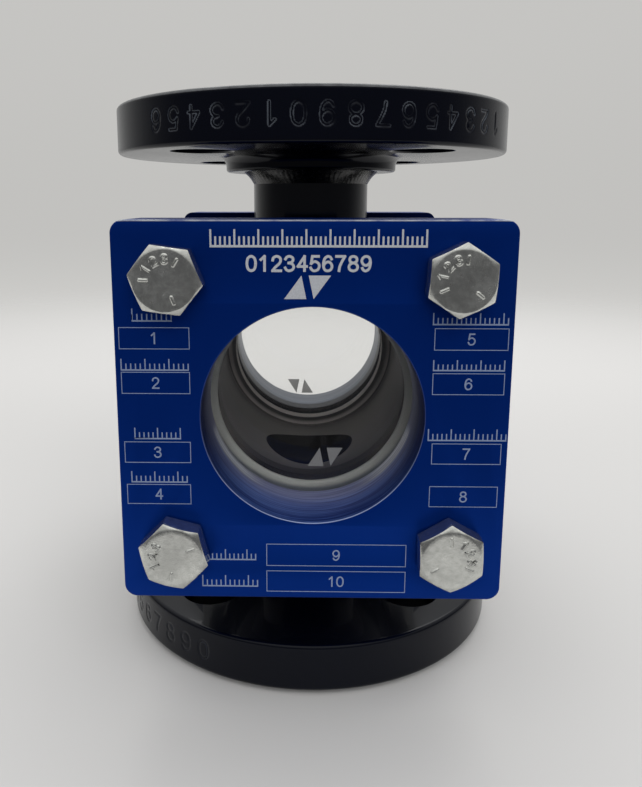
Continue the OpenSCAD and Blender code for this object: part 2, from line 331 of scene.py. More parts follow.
def flange_material(c, sizes):
    """Gloss paint with a bare sealing face, a painted highlight along the top flange's upper rim edge and
    painted highlights on the stamped digits' walls.
    """
    material, s = new_material("flange_enamel")
    point, (x, y, z) = s.place()
    radius = (x * x + y * y).root()
    reach = (z - MID_Z).size()
    rim_face, rim_back = MID_Z - sizes.face_h, MID_Z - HUB_TOP + sizes.hub_h
    face = (reach > MID_Z - 0.7 * sizes.face_h) * (radius < sizes.face_r + 0.1 * MM)
    bare = face.at_least(radius < sizes.flange_bore_r + 0.2 * MM)
    cloud = s.noise(point, 38, 3)
    peel = s.noise(point, 700, 2)
    groove = (radius * (2 * math.pi / (0.8 * MM))).sine() * face

    paint = s.mix(cloud, c.enamel, shade(c.enamel, 1.7))
    # painted highlight: a thin pale line along the upper outer edge of the top flange's rim, where the
    # rounded edge catches the light
    below = rim_face - (z - MID_Z)
    corner = (FLANGE_R - radius + below < 0.78 * sizes.rim_round) * (radius > FLANGE_R - sizes.rim_round)
    rim_edge_highlight = corner * (below > -0.1 * MM)
    paint = s.mix(rim_edge_highlight * s.noise(point, 300, 3), paint, (0.15, 0.155, 0.16))
    # painted highlight: the walls of the stamped digits are painted paler in patches, mostly on the upper
    # flange, for the light that their edges catch
    on_rim = (reach < rim_face - 1.3 * sizes.rim_round) * (reach > rim_back + 1.3 * sizes.rim_round)
    digit_wall = (radius < FLANGE_R - 0.15 * sizes.stamp_depth) \
        * (radius > FLANGE_R - 0.8 * sizes.stamp_depth)
    mostly_upper = 0.25 + 0.75 * (z > MID_Z)
    stamp_highlight = on_rim * digit_wall * mostly_upper * s.step(s.noise(point, 150, 3), 0.38, 0.66)
    paint = s.mix(stamp_highlight, paint, (0.055, 0.062, 0.075))

    metal = s.mix(s.noise(point, 180, 4), shade(c.steel, 0.55), c.steel)
    s.finish(Base_Color=s.mix(bare, paint, metal), Metallic=0.95 * bare,
             Roughness=0.18 + 0.1 * cloud + 0.18 * bare, Specular_IOR_Level=0.12,
             Specular_Tint=(0.82, 0.88, 1.0, 1.0), Coat_Weight=0.2 - 0.2 * bare, Coat_Roughness=0.035,
             Normal=s.bump(peel * 0.12 + groove * 0.5, 0.5, 0.12 * MM))
    return material


def anodised_material(c, sizes):
    """Dyed aluminium: a satin face, and turned lines on the wall of the window, with painted shade on the
    inner faces and the window walls, painted light, reflection and glints on the front wall, and painted
    highlights on edges.
    """
    material, s = new_material("blue_anodised")
    point, (x, y, z) = s.place()
    across = z - MID_Z
    radius = (x * x + across * across).root()
    depth = y.size() - COVER_IN
    thick = COVER_OUT - COVER_IN
    low = across / radius * -1
    cloud = s.noise(point, 26, 2)
    fine = s.noise(point, 5200, 2)
    scratch = s.noise(point, 420, 2, stretch=(1, 1, 0.06))
    turned = s.step(s.noise(point, 1500, 2, stretch=(0.03, 1, 0.03)), 0.3, 0.7)

    # Flat faces
    face = s.mix(cloud, shade(c.anodised, 0.85), shade(c.anodised, 1.12))
    # painted shade: the inner faces, which face the other cover, are painted darker
    shaded_inner_face = depth < 0.35 * MM
    face = s.mix(shaded_inner_face, face, shade(c.anodised, 0.3))

    # Front window's wall: painted shade at the sides and near the front, painted light low down, a paler
    # painted reflection on its inner half low down beside the gasket, and painted glints on its lower flanks
    inner = (1 - s.step(depth, 0.20 * thick, 0.52 * thick)) * (0.1 + 0.9 * s.step(low, 0.35, 0.85))
    side_shade = s.mix(turned, (0.001, 0.006, 0.07), (0.008, 0.03, 0.19))
    lit_low_tone = s.mix(turned, (0.005, 0.025, 0.20), (0.07, 0.15, 0.48))
    wall_shading = s.mix(s.step(low, 0.1, 0.85), side_shade, lit_low_tone)
    pale = s.mix(turned, (0.045, 0.06, 0.20), (0.125, 0.155, 0.37))
    # painted glints: pale patches on the lower flanks of the wall, near the gasket
    flank_glint = s.step(low, 0.24, 0.36) * (1 - s.step(low, 0.70, 0.92))
    flank_glint = flank_glint * (1 - s.step(depth, 0.22 * thick, 0.31 * thick))
    glint_colour = s.mix(turned, (0.20, 0.22, 0.30), (0.62, 0.65, 0.73))
    front_wall = s.mix(flank_glint, s.mix(inner, wall_shading, pale), glint_colour)

    # Rear window's wall: painted shade beside the gasket, and a paler tone further out that is painted light,
    # for the light it catches from behind
    lit_grey = s.mix(turned, (0.075, 0.09, 0.13), (0.15, 0.17, 0.21))
    rear_wall = s.mix(s.step(depth, 4.6 * MM, 7.0 * MM), DARK_BLUE, lit_grey)

    wall = radius < sizes.window_r + 0.12 * MM
    dyed = s.mix(wall, face, s.mix(y > 0, front_wall, rear_wall))
    # painted shade: near black where an inner face lies under the gasket and the glass
    dyed = s.mix(shaded_inner_face * (radius < GLASS_R + 0.2 * MM), dyed, DARK_BLUE)
    # painted highlight: a pale line along the front cover's top edge
    edge = 1.2 * sizes.cover_break
    cover_top_highlight = (across > COVER_HALF - edge) * (depth > thick - edge) * (y < 0)
    dyed = s.mix(cover_top_highlight * s.step(s.noise(point, 220, 3), 0.2, 0.6), dyed, (0.36, 0.38, 0.42))
    # painted highlight: a thin pale ring at the outer edge of each window, brighter low down
    rim = s.step(radius, sizes.window_r + 0.02 * MM, sizes.window_r + 0.07 * MM) \
        * (1 - s.step(radius, sizes.window_r + 0.20 * MM, sizes.window_r + 0.27 * MM))
    lit_rim = rim * (depth > thick - 1.5 * MM) * (0.12 + 0.88 * s.step(low, -0.1, 0.8))
    s.finish(Base_Color=s.mix(lit_rim, dyed, (0.31, 0.38, 0.60)),
             Metallic=0.72, Specular_IOR_Level=0.14,
             Roughness=0.33 + 0.07 * fine + 0.06 * scratch - 0.05 * wall,
             Normal=s.bump(fine * 0.35 + wall * turned, 0.12, 0.12 * MM))
    return material


def zinc_material(c, name, blotch, side_top):
    """Bright zinc plating with clouds and small pits; the hexagon's sides, below side_top, are smoother."""
    material, s = new_material(name)
    point, (x, y, z) = s.place()
    side = y.size() < side_top
    cloud = s.noise(point, 140, 5, 0.6)
    grain = s.noise(point, 2400, 3)
    crystal = s.noise(point, 800, 4, 0.65)
    pits = s.spots(point, 620, 0.10) * (s.noise(point, 110, 1) > 0.58)
    tone = s.mix(s.step(cloud * 0.6 + crystal * 0.4, 0.38, 0.66), shade(c.zinc, blotch), c.zinc)
    rough = 0.10 + 0.12 * cloud + 0.12 * crystal + 0.04 * grain + 0.2 * pits
    s.finish(Base_Color=s.mix(pits * 0.6, tone, (0.10, 0.09, 0.07)), Metallic=0.96,
             Roughness=rough * (1 - 0.75 * side),
             Normal=s.bump(grain * 0.3 + crystal * 0.8 + cloud - 1.5 * pits, 0.22, 0.2 * MM))
    return material


def gasket_material(c, sizes):
    """White sheet gasket with a slightly waxy surface, and painted shade, darker and bluer, on its outer part
    beside the cover.
    """
    material, s = new_material("white_gasket")
    point, (x, y, z) = s.place()
    across = z - MID_Z
    clean = s.mix(s.noise(point, 120, 3), shade(c.ptfe, 0.86), c.ptfe)
    bore_r = sizes.gasket_bore_r
    # painted shade: the gasket is painted darker and bluer away from its bore, where the cover shades it
    outer_shade = s.step((x * x + across * across).root(), bore_r + 0.9 * MM, bore_r + 2.3 * MM)
    grain = s.noise(point, 1900, 2)
    s.finish(Base_Color=s.mix(outer_shade, clean, (0.19, 0.21, 0.26)),
             Roughness=0.52 + 0.12 * grain, Normal=s.bump(grain, 0.1, 0.1 * MM))
    return material


def glass_material(c):
    """Clear borosilicate glass with polished faces."""
    material, s = new_material("clear_glass")
    point, _ = s.place()
    smear = s.noise(point, 60, 3)
    s.finish(Base_Color=c.glass, Roughness=0.012 * s.step(smear, 0.5, 0.8), IOR=1.474,
             Transmission_Weight=1.0, Normal=s.bump(smear, 0.008, 0.1 * MM))
    return material


def marking_material(name, ink, roughness, cover=1.0):
    """A mark made by a laser or by etching: pale and slightly uneven."""
    material, s = new_material(name)
    point, _ = s.place()
    grain = s.noise(point, 3200, 2)
    s.finish(Base_Color=s.mix(grain, shade(ink, 0.72), shade(ink, 1.12)), Alpha=cover,
             Metallic=0.25, Roughness=roughness + 0.1 * grain, Normal=s.bump(grain, 0.1, 0.05 * MM))
    return material


# ---------------------------------------------------------------- meshes

def grid_faces(rows, columns, wrap_rows=False, wrap_columns=False):
    """Quads of a grid of points, joined round on itself where it wraps."""
    i, j = np.meshgrid(np.arange(rows if wrap_rows else rows - 1),
                       np.arange(columns if wrap_columns else columns - 1), indexing="ij")
    i2, j2 = (i + 1) % rows, (j + 1) % columns
    quads = np.stack([i * columns + j, i * columns + j2, i2 * columns + j2, i2 * columns + j], -1)
    return quads.reshape(-1, 4).tolist()


def make_piece(name, points, faces, material, replaced=(), sharp=32):
    """Makes one object from points and faces, lets it ride on the body, and hides the CAD nodes that it
    replaces.
    """
    mesh = bpy.data.meshes.new(name)
    mesh.from_pydata([tuple(p) for p in points], [], faces)
    work = bmesh.new()
    work.from_mesh(mesh)
    bmesh.ops.remove_doubles(work, verts=work.verts, dist=0.002 * MM)
    bmesh.ops.recalc_face_normals(work, faces=work.faces)
    work.to_mesh(mesh)
    work.free()
    mesh.shade_smooth()
    mesh.set_sharp_from_angle(angle=math.radians(sharp))
    piece = bpy.data.objects.new(name, mesh)
    bpy.context.scene.collection.objects.link(piece)
    mesh.materials.append(material)
    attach(piece, BODY)
    if replaced:
        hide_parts(*replaced)
    return piece


def rounded(corners, steps=5):
    """A closed outline from (x, y, radius) corners, each rounded by its radius."""
    outline = []
    for i, (x, y, radius) in enumerate(corners):
        here = np.array((x, y))
        if radius == 0:
            outline.append(here)
            continue
        back = np.array(corners[i - 1][:2]) - here
        ahead = np.array(corners[(i + 1) % len(corners)][:2]) - here
        back, ahead = back / np.linalg.norm(back), ahead / np.linalg.norm(ahead)
        half = 0.5 * math.acos(np.clip(back @ ahead, -1, 1))
        middle = back + ahead
        centre = here + middle / np.linalg.norm(middle) * radius / math.sin(half)
        reach = radius / math.tan(half)
        first, last = here + back * reach - centre, here + ahead * reach - centre
        start = math.atan2(first[1], first[0])
        sweep = (math.atan2(last[1], last[0]) - start + math.pi) % (2 * math.pi) - math.pi
        for k in range(steps + 1):
            turn = start + sweep * k / steps
            outline.append(centre + radius * np.array((math.cos(turn), math.sin(turn))))
    return np.array(outline)


def at_cover(points, side, x=0.0, z=0.0):
    """Turns points drawn around Z so that their Z runs outwards along Y at that side."""
    points = np.asarray(points, float)
    return np.stack([points[:, 0] + x, side * points[:, 2], -side * points[:, 1] + MID_Z + z], -1)


def at_end(points, end):
    """Moves points drawn for the lower end to that end."""
    points = np.array(points, float)
    if end > 0:
        points[:, 2] = TOP_Z - points[:, 2]
    return points


def on_drum(points, end):
    """Moves points drawn up from the drum's axis to the drum's upper (1) or lower (-1) side."""
    points = np.array(points, float)
    points[:, 2] = MID_Z + end * points[:, 2]
    return points


# Strokes of each digit in a box 0.6 wide and 1 high; a stroke of over two points is drawn smooth
DIGITS = {
    "0": [[(.3, 0), (.1, .1), (.02, .3), (0, .5), (.02, .7), (.1, .9), (.3, 1),
           (.5, .9), (.58, .7), (.6, .5), (.58, .3), (.5, .1), (.3, 0)]],
    "1": [[(.08, .76), (.34, 1)], [(.34, 1), (.34, 0)]],
    "2": [[(.02, .72), (.08, .9), (.3, 1), (.52, .9), (.57, .7), (.48, .5), (.2, .24), (.02, .02)],
          [(0, 0), (.6, 0)]],
    "3": [[(.02, .8), (.12, .94), (.3, 1), (.5, .92), (.55, .75), (.46, .6), (.24, .54)],
          [(.24, .54), (.48, .48), (.6, .28), (.5, .08), (.28, 0), (.1, .06), (0, .22)]],
    "4": [[(.46, 0), (.46, 1)], [(.46, 1), (0, .3)], [(0, .3), (.62, .3)]],
    "5": [[(.56, 1), (.12, 1)], [(.12, 1), (.04, .5)],
          [(.04, .5), (.16, .6), (.34, .64), (.54, .52), (.6, .32),
           (.5, .09), (.28, 0), (.1, .06), (0, .22)]],
    "6": [[(.56, .8), (.48, .94), (.3, 1), (.1, .86), (.01, .55), (.02, .25), (.12, .06), (.3, 0),
           (.5, .08), (.6, .3), (.5, .54), (.3, .62), (.1, .5), (.02, .34)]],
    "7": [[(0, 1), (.6, 1)], [(.6, 1), (.38, .6), (.25, .3), (.2, 0)]],
    "8": [[(.3, .55), (.1, .64), (.05, .78), (.12, .94), (.3, 1),
           (.48, .94), (.55, .78), (.5, .64), (.3, .55)],
          [(.3, .55), (.08, .45), (0, .27), (.08, .08), (.3, 0),
           (.52, .08), (.6, .27), (.52, .45), (.3, .55)]],
    "9": [[(.04, .2), (.12, .06), (.3, 0), (.5, .14), (.59, .45), (.58, .75), (.48, .94), (.3, 1),
           (.1, .92), (0, .7), (.1, .46), (.3, .38), (.5, .5), (.58, .66)]],
}


def smooth_line(line):
    """A line through the same points with rounded turns, as a Catmull-Rom curve."""
    closed = np.allclose(line[0], line[-1])
    first = line[-2:-1] if closed else 2 * line[:1] - line[1:2]
    last = line[1:2] if closed else 2 * line[-1:] - line[-2:-1]
    knots = np.concatenate([first, line, last])
    t = np.linspace(0, 1, 5)[:-1, None]
    parts = []
    for a, b, c, d in zip(knots, knots[1:], knots[2:], knots[3:]):
        parts.append(0.5 * (2 * b + (c - a) * t + (2 * a - 5 * b + 4 * c - d) * t ** 2
                            + (3 * b - a - 3 * c + d) * t ** 3))
    return np.concatenate(parts + [line[-1:]])


def digit_lines(text, height, pitch):
    """Lines of a row of digits round its middle, each an array of (x, y)."""
    lines = []
    left = -0.5 * pitch * (len(text) - 1)
    for place, digit in enumerate(text):
        for stroke in DIGITS[digit]:
            line = np.array(stroke)
            if len(line) > 2:
                line = smooth_line(line)
            lines.append((line - (0.3, 0.5)) * height + (left + place * pitch, 0))
    return lines


def ribbon(line, width):
    """The two edges of a line drawn with a pen of that width: arrays of (x, y)."""
    ahead = np.diff(line, axis=0)
    ahead /= np.linalg.norm(ahead, axis=1, keepdims=True)
    closed = np.allclose(line[0], line[-1])
    before = np.concatenate([ahead[-1:] if closed else ahead[:1], ahead])
    after = np.concatenate([ahead, ahead[:1] if closed else ahead[-1:]])
    middle = before + after
    middle /= np.linalg.norm(middle, axis=1, keepdims=True)
    side = np.stack([-middle[:, 1], middle[:, 0]], -1)
    reach = 0.5 * width / np.maximum((middle * after).sum(1), 0.5)[:, None]
    line = line.copy()
    if not closed:
        line[0] -= 0.4 * width * ahead[0]
        line[-1] += 0.4 * width * ahead[-1]
    return line + side * reach, line - side * reach


def stroke_distance(points, strokes):
    """How far each 2-D point is from the nearest stroke."""
    start, run = strokes[:, :2], strokes[:, 2:] - strokes[:, :2]
    offset = points[:, None, :] - start[None]
    along = np.clip((offset * run).sum(-1) / np.maximum((run ** 2).sum(-1), 1e-12), 0, 1)
    return np.linalg.norm(offset - along[..., None] * run[None], axis=-1).min(1)


def flange_profile(sizes):
    """Closed outline of half a flange, with extra points up the rim for the stamped digits."""
    rim_low, rim_high = sizes.face_h, HUB_TOP - sizes.hub_h
    outline = rounded([
        (sizes.flange_bore_r, 0, 0.5 * MM), (sizes.face_r, 0, 0.3 * MM),
        (sizes.face_r, rim_low, 0.5 * MM), (FLANGE_R, rim_low, sizes.rim_round),
        (FLANGE_R, rim_high, sizes.rim_round), (sizes.hub_r, rim_high, sizes.hub_fillet),
        (sizes.hub_r, HUB_TOP, 0.8 * MM), (sizes.flange_bore_r, HUB_TOP, 0.3 * MM)])
    profile, rows = [], 36
    for here, after in zip(outline, np.roll(outline, -1, axis=0)):
        profile.append(here)
        on_rim = min(here[0], after[0]) > FLANGE_R - 0.01 * MM
        if on_rim and after[1] - here[1] > 2 * MM:
            profile += [here + (after - here) * k / rows for k in range(1, rows)]
    return np.array(profile)


def flange_mesh(sizes, text, middle, flip):
    """Turned flange with digits stamped into its rim around the angle middle; flip mirrors them."""
    profile = flange_profile(sizes)
    pitch, pen_r, wall_w = 6.3 * MM, 0.44 * MM, 0.26 * MM
    half = 0.5 * (len(text) + 1) * pitch / FLANGE_R
    fine = np.arange(middle - half, middle + half, 0.27 * MM / FLANGE_R)
    coarse = np.linspace(middle + half, middle - half + 2 * math.pi, 150)[:-1]
    angles = np.concatenate([fine, coarse])
    radius = np.repeat(profile[None, :, 0], len(angles), 0)
    height = np.repeat(profile[None, :, 1], len(angles), 0)
    around = np.repeat(angles[:, None], len(profile), 1)
    on_rim = (radius > FLANGE_R - 0.01 * MM) & (around < middle + half)
    rim_middle = 0.5 * (sizes.face_h + HUB_TOP - sizes.hub_h)
    flat = np.stack([(around[on_rim] - middle) * FLANGE_R, height[on_rim] - rim_middle], -1)
    lines = digit_lines(text, sizes.stamp_h, pitch)
    strokes = np.concatenate([np.column_stack([line[:-1], line[1:]]) for line in lines])
    distance = stroke_distance(flat, strokes * (-1, 1, -1, 1) if flip else strokes)
    depth = np.clip((pen_r - distance) / wall_w, 0, 1)
    radius[on_rim] -= sizes.stamp_depth * depth * depth * (3 - 2 * depth)
    points = np.stack([radius * np.cos(around), radius * np.sin(around), height], -1).reshape(-1, 3)
    return points, grid_faces(len(angles), len(profile), True, True)


def turned_mesh(profile, columns):
    """A closed profile of (radius, height) turned round Z."""
    profile = np.asarray(profile)
    angles = np.linspace(0, 2 * math.pi, columns, endpoint=False)
    points = np.stack([np.outer(np.cos(angles), profile[:, 0]), np.outer(np.sin(angles), profile[:, 0]),
                       np.repeat(profile[None, :, 1], columns, 0)], -1)
    return points.reshape(-1, 3), grid_faces(columns, len(profile), True, True)


def cut_holes(piece, centres, radius, low, high, flare):
    """Cuts round holes with flared mouths along Z through a piece."""
    points, faces = [], []
    profile = [(0.01 * MM, low - MM), (radius + flare + MM, low - MM), (radius, low + flare),
               (radius, high - flare), (radius + flare + MM, high + MM), (0.01 * MM, high + MM)]
    for x, y in centres:
        ring, quads = turned_mesh(profile, 64)
        faces += [[v + len(points) for v in quad] for quad in quads]
        points += [(p[0] + x, p[1] + y, p[2]) for p in ring]
    mesh = bpy.data.meshes.new("cutter")
    mesh.from_pydata([tuple(p) for p in points], [], faces)
    work = bmesh.new()
    work.from_mesh(mesh)
    bmesh.ops.recalc_face_normals(work, faces=work.faces)
    work.to_mesh(mesh)
    work.free()
    cutter = bpy.data.objects.new("cutter", mesh)
    bpy.context.scene.collection.objects.link(cutter)
    change = piece.modifiers.new("holes", "BOOLEAN")
    change.operation, change.solver, change.object = "DIFFERENCE", "EXACT", cutter
    depsgraph = bpy.context.evaluated_depsgraph_get()
    made = bpy.data.meshes.new_from_object(piece.evaluated_get(depsgraph))
    piece.modifiers.clear()
    piece.data = made
    made.set_sharp_from_angle(angle=math.radians(32))
    bpy.data.objects.remove(cutter)


def bead_mesh(toe_a, toe_b, roots, swell, ripple, count, seed):
    """A rippled weld bead round a closed line, from its two toe lines and one or two root lines."""
    root, steps, parts = roots[0], len(roots[0]), 13
    rng = np.random.default_rng(seed)
    turn = np.linspace(0, 2 * math.pi, steps, endpoint=False)
    wander = sum(rng.normal(0, 1 / k) * np.sin(k * turn + rng.uniform(0, 6.28)) for k in range(2, 9))
    waves = (rng.normal(0, 1) * np.sin(k * turn + rng.uniform(0, 6.28)) for k in (11, 17, 23, 31))
    jitter = 0.175 * sum(waves)
    outward = (toe_a - root) + (toe_b - root)
    outward /= np.linalg.norm(outward, axis=1, keepdims=True)
    across = np.linspace(0, 1, parts)
    phase = count * turn[:, None] + jitter[:, None] - 2.6 * (2 * across[None] - 1) ** 2
    saw = 0.5 + 0.5 * np.sin(phase + 0.45 * np.sin(phase))
    lift = np.sin(math.pi * across)[None] * (swell * (1 + 0.10 * wander[:, None]) + ripple * (saw - 0.5))
    face = (toe_a[:, None] * (1 - across[None, :, None]) + toe_b[:, None] * across[None, :, None]
            + outward[:, None] * lift[..., None])
    points = np.concatenate([root[:, None], face] + [line[:, None] for line in roots[1:]], 1)
    return points.reshape(-1, 3), grid_faces(steps, parts + len(roots), True, True)


def ring_line(radius, height, steps):
    """Points round Z at a radius and a height."""
    turn = np.linspace(0, 2 * math.pi, steps, endpoint=False)
    return np.stack([radius * np.cos(turn), radius * np.sin(turn), np.full(steps, height)], -1)


def drum_line(radius, lift, steps, outer):
    """Points round the stub at a radius, on a cylinder of the drum's axis, measured from its axis."""
    turn = np.linspace(0, 2 * math.pi, steps, endpoint=False)
    x, y = radius * np.cos(turn), radius * np.sin(turn)
    return np.stack([x, y, np.sqrt(outer ** 2 - x ** 2) + lift], -1)


def hex_radius(angles, width):
    """Distance from the axis to a hexagon with a corner at angle 0 and its corners slightly rounded by wear.
    """
    normals = np.radians(30 + 60 * np.arange(6))
    facing = np.maximum(np.cos(angles[:, None] - normals[None]), 0)
    return width / 2 / (facing ** 150).sum(1) ** (1 / 150)


def hex_end(outer, hex_w, level, way):
    """Rings from a chamfered hexagon's flat round out to its side; way is -1 at an upper end."""
    face = HEX_FACE * hex_w
    slope = math.tan(math.radians(30))
    flat = np.full_like(outer, face)
    rings = [(flat - 0.25 * MM, np.full_like(outer, level)),
             (flat, np.full_like(outer, level + way * 0.05 * MM))]
    for share in (0.35, 0.7):
        radius = face + (outer - face) * share
        rings.append((radius, level + way * ((radius - face) * slope + 0.03 * MM)))
    for inset, drop in ((0.10, 0.02), (0.02, 0.10), (0, 0.25)):
        rings.append((outer - inset * MM, level + way * ((outer - face) * slope + drop * MM)))
    return rings


def hex_rings(angles, sizes, low, high, low_chamfered):
    """Rings of a hexagon from its chamfered upper end down to its lower one."""
    outer = hex_radius(angles, sizes.hex_w)
    rings = hex_end(outer, sizes.hex_w, high, -1)
    if low_chamfered:
        return rings + hex_end(outer, sizes.hex_w, low, 1)[::-1]
    return rings + [(outer, np.full_like(outer, low + 0.15 * MM)),
                    (outer - 0.12 * MM, np.full_like(outer, low))]


def rings_to_points(rings, angles):
    """Points of rings, each given by its radius and height at every angle."""
    return np.concatenate([np.stack([radius * np.cos(angles), radius * np.sin(angles), height], -1)
                           for radius, height in rings])


def join_parts(parts):
    """Joins several (points, faces) into one."""
    points, faces = [], []
    for some_points, some_faces in parts:
        faces += [[v + len(points) for v in face] for face in some_faces]
        points += [tuple(p) for p in some_points]
    return np.array(points), faces


def flat_mark(name, shapes, material, y, side=-1):
    """Flat shapes, each a list of (x, z) from the cover's middle, laid at y as one piece."""
    points, faces = [], []
    for shape in shapes:
        faces.append(list(range(len(points), len(points) + len(shape))))
        points += [(-side * x, side * y, MID_Z + z) for x, z in shape]
    return make_piece(name, points, faces, material)


def bar(x0, z0, x1, z1):
    """A rectangle as four points, from its corners in millimetres."""
    return [(x0 * MM, z0 * MM), (x1 * MM, z0 * MM), (x1 * MM, z1 * MM), (x0 * MM, z1 * MM)]


def frame_bars(x0, z0, x1, z1, line):
    """The four thin bars of an open box, in millimetres."""
    t = line / MM
    return [bar(x0, z0, x1, z0 + t), bar(x0, z1 - t, x1, z1), bar(x0, z0 + t, x0 + t, z1 - t),
            bar(x1 - t, z0 + t, x1, z1 - t)]


def scale_bars(x0, z0, x1, z1, pitch, width, every=5, short=0.55):
    """A graduated scale that fills a box: long bars at every fifth step, in millimetres."""
    count = int(round((x1 - x0 - width) / pitch))
    step = (x1 - x0 - width) / count
    bars = [bar(x0 + k * step, z0, x0 + k * step + width, z1 if k % every == 0 else z0 + (z1 - z0) * short)
            for k in range(count + 1)]
    return bars + [bar(x0, z0 - 1.2 * width, x1, z0)]


def digits_mesh(text, height, pitch, width, thick=0):
    """Digits drawn with a round pen: flat ribbons, or ribs with sloping flanks where thick is above 0."""
    parts = []
    for index, line in enumerate(digit_lines(text, height, pitch)):
        left, right = ribbon(line, width)
        if thick:
            wide_left, wide_right = ribbon(line, width + 1.9 * thick)
            rows = [(wide_left, 0), (left, thick), (right, thick), (wide_right, 0)]
        else:
            # A small rise along each stroke keeps strokes that cross out of one plane
            rise = 0.006 * MM * (index % 3) + np.linspace(0, 0.005 * MM, len(line))
            rows = [(left, rise), (right, rise)]
        points = [np.column_stack([row, np.broadcast_to(level, len(row))]) for row, level in rows]
        parts.append((np.concatenate(points), grid_faces(len(rows), len(left))))
    return join_parts(parts)


def place_digits(name, mesh, x, z, y, material, turn=0.0):
    """Lays a digits mesh on a face at y that looks along -Y, with its middle at (x, z)."""
    points, faces = mesh
    c, s = math.cos(turn), math.sin(turn)
    placed = [(x + c * px - s * py, y - level, MID_Z + z + s * px + c * py) for px, py, level in points]
    piece = make_piece(name, placed, faces, material, sharp=50)
    flat = max(point[2] for point in points) < 0.1 * MM
    if flat:
        piece.data.shade_flat()
    for polygon in piece.data.polygons:
        if polygon.normal.y > 0.3:
            polygon.flip()
    return piece


# ---------------------------------------------------------------- operators

class PieceOperator(bpy.types.Operator):
    """Shared base of the operators that make pieces"""
    bl_options = {"REGISTER"}

    def sizes(self):
        return bpy.context.scene.sight_glass_sizes

    def colours(self):
        chosen = bpy.context.scene.sight_glass_colours
        values = {key: tuple(getattr(chosen, key)) for key in SightGlassColours.__annotations__}
        return SimpleNamespace(**values)

    def paint(self, material, *nodes):
        for node in nodes:
            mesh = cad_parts[node].data
            mesh.materials.clear()
            mesh.materials.append(material)


class SIGHTGLASS_OT_flanges(PieceOperator):
    """Turns the two flanges, with round edges, bored bolt holes and plain stamped digits"""
    bl_idname = "sight_glass.flanges"
    bl_label = "Flanges"

    def execute(self, context):
        sizes = self.sizes()
        material = flange_material(self.colours(), sizes)
        marks = {"top": ("1234567890123456", -1.46, True), "bottom": ("1234567890", -2.62, False)}
        for name, end in ENDS.items():
            text, middle, flip = marks[name]
            points, faces = flange_mesh(sizes, text, middle, flip)
            centres = [(sizes.hole_circle_r * math.cos(a), sizes.hole_circle_r * math.sin(a))
                       for a in np.radians((45, 135, 225, 315))]
            piece = make_piece(name + "_flange_turned", at_end(points, end), faces, material,
                               (name + "_flange",))
            low, high = sizes.face_h, HUB_TOP - sizes.hub_h
            if end > 0:
                low, high = TOP_Z - high, TOP_Z - low
            cut_holes(piece, centres, sizes.hole_r, low, high, 0.4 * MM)
        return {"FINISHED"}


class SIGHTGLASS_OT_pipework(PieceOperator):
    """Finishes the pipe stubs, the drum and the glass seats with gloss paint and a matt inner coat"""
    bl_idname = "sight_glass.pipework"
    bl_label = "Pipework"

    def execute(self, context):
        material = enamel_material(self.colours(), self.sizes())
        self.paint(material, "bottom_neck", "top_neck", "body_tube", "front_glass_seat", "rear_glass_seat")
        return {"FINISHED"}


class SIGHTGLASS_OT_welds(PieceOperator):
    """Lays rippled weld beads at the hubs, the saddles, the glass seats and inside the flange bores"""
    bl_idname = "sight_glass.welds"
    bl_label = "Weld Beads"

    def ripples(self, sizes, radius):
        return round(2 * math.pi * radius / sizes.weld_step)

    def bead(self, name, mesh, place, side, material, replaced):
        points, faces = mesh
        make_piece(name, place(points, side), faces, material, (replaced,), 80)

    def hub(self, sizes, end):
        leg, steps = sizes.hub_leg, 900
        return bead_mesh(
            ring_line(NECK_R + 0.86 * leg, HUB_TOP - 0.05 * MM, steps),
            ring_line(NECK_R - 0.02 * MM, HUB_TOP + 0.98 * leg, steps),
            [ring_line(NECK_R - 0.1 * MM, HUB_TOP - 0.1 * MM, steps)],
            -0.35 * MM, 0.35 * sizes.weld_swell, self.ripples(sizes, NECK_R + leg / 2), 11 + end)

    def bore(self, sizes, end):
        bore_r, steps = sizes.flange_bore_r, 700
        return bead_mesh(
            ring_line(sizes.flow_r + 0.2 * MM, sizes.set_back + 0.05 * MM, steps),
            ring_line(bore_r + 0.05 * MM, sizes.face_h + 0.5 * MM, steps),
            [ring_line(bore_r + 0.1 * MM, sizes.set_back + 0.1 * MM, steps)],
            0.25 * MM, sizes.weld_swell, self.ripples(sizes, bore_r), 21 + end)

    def saddle(self, sizes, end):
        leg, steps = sizes.branch_leg, 900
        return bead_mesh(
            drum_line(NECK_R + 0.96 * leg, -0.02 * MM, steps, DRUM_R),
            drum_line(NECK_R - 0.05 * MM, 0.96 * leg, steps, DRUM_R),
            [drum_line(NECK_R - 0.1 * MM, -0.1 * MM, steps, DRUM_R)],
            0.3 * MM, sizes.weld_swell, self.ripples(sizes, NECK_R + leg / 2), 31 + end)

    def seat(self, sizes, side):
        leg, steps = sizes.seat_leg, 1200
        root_r = sizes.drum_bore_r + 0.3 * MM
        return bead_mesh(
            ring_line(DRUM_R - 0.05 * MM, SEAT_BACK - 0.98 * leg, steps),
            ring_line(DRUM_R + 0.95 * leg, SEAT_BACK + 0.05 * MM, steps),
            [ring_line(root_r, DRUM_END - 0.05 * MM, steps), ring_line(root_r, SEAT_BACK + 0.05 * MM, steps)],
            0.3 * MM, sizes.weld_swell, self.ripples(sizes, DRUM_R + leg / 2), 41 + side)

    def execute(self, context):
        sizes, colours = self.sizes(), self.colours()
        painted = weld_material(colours)
        bare = bare_weld_material(colours)
        for name, end in ENDS.items():
            self.bead(name + "_hub_bead", self.hub(sizes, end), at_end, end, painted, name + "_hub_weld")
            self.bead(name + "_bore_bead", self.bore(sizes, end), at_end, end, bare, name + "_seal_weld")
            self.bead(name + "_saddle_bead", self.saddle(sizes, end), on_drum, end, painted,
                      name + "_branch_weld")
        for name, side in SIDES.items():
            self.bead(name + "_seat_bead", self.seat(sizes, side), at_cover, side, painted,
                      name + "_seat_weld")
        return {"FINISHED"}


